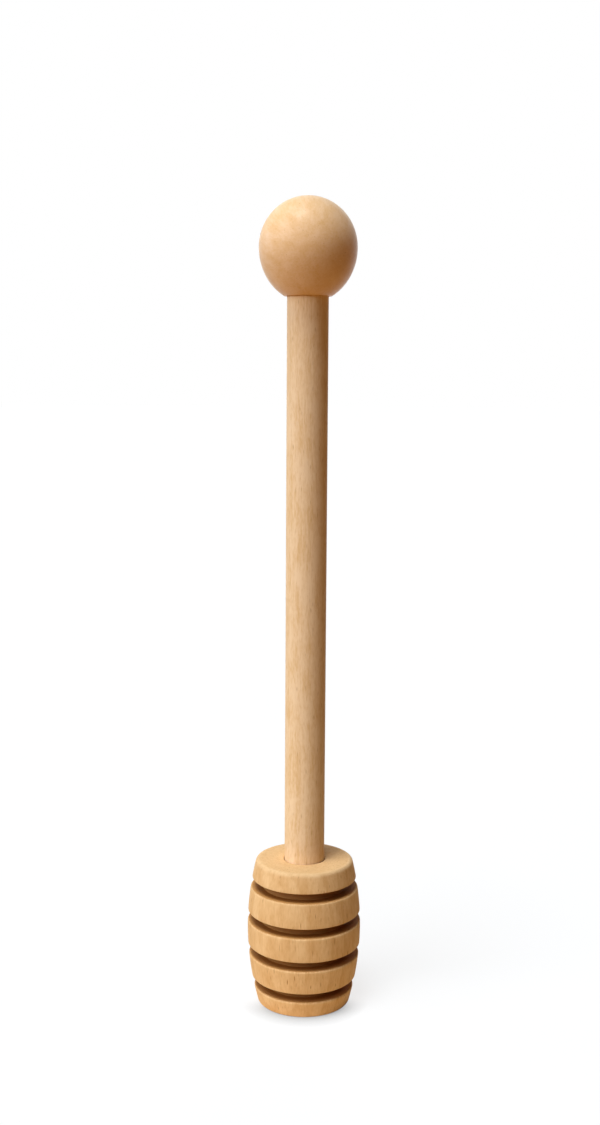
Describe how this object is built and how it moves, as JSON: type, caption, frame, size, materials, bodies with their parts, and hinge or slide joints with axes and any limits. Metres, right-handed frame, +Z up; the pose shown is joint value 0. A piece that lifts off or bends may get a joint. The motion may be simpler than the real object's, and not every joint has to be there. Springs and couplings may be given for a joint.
{
  "type": "honey spoon",
  "caption": "Turned wooden honey spoon: a ball knob on a slim rod handle, glued into a grooved barrel head that picks up honey and lets it run off.",
  "frame": {"origin": "centre of the flat base of the head, where the spoon stands", "axes": "+Z up along the turning axis, from the head to the knob; the spoon is round, so X and Y are free"},
  "size_m": [0.0214, 0.0214, 0.15],
  "materials": {
    "head_wood": "bare turned wood, fine pores and grooves darkened by the tool",
    "rod_wood": "bare turned wood with straight grain, lightly sanded",
    "knob_wood": "bare turned wood, sanded smooth to a satin sheen"
  },
  "bodies": {
    "root": {"dipper_head": "head_wood", "handle_rod": "rod_wood", "ball_knob": "knob_wood"}
  },
  "joints": []
}
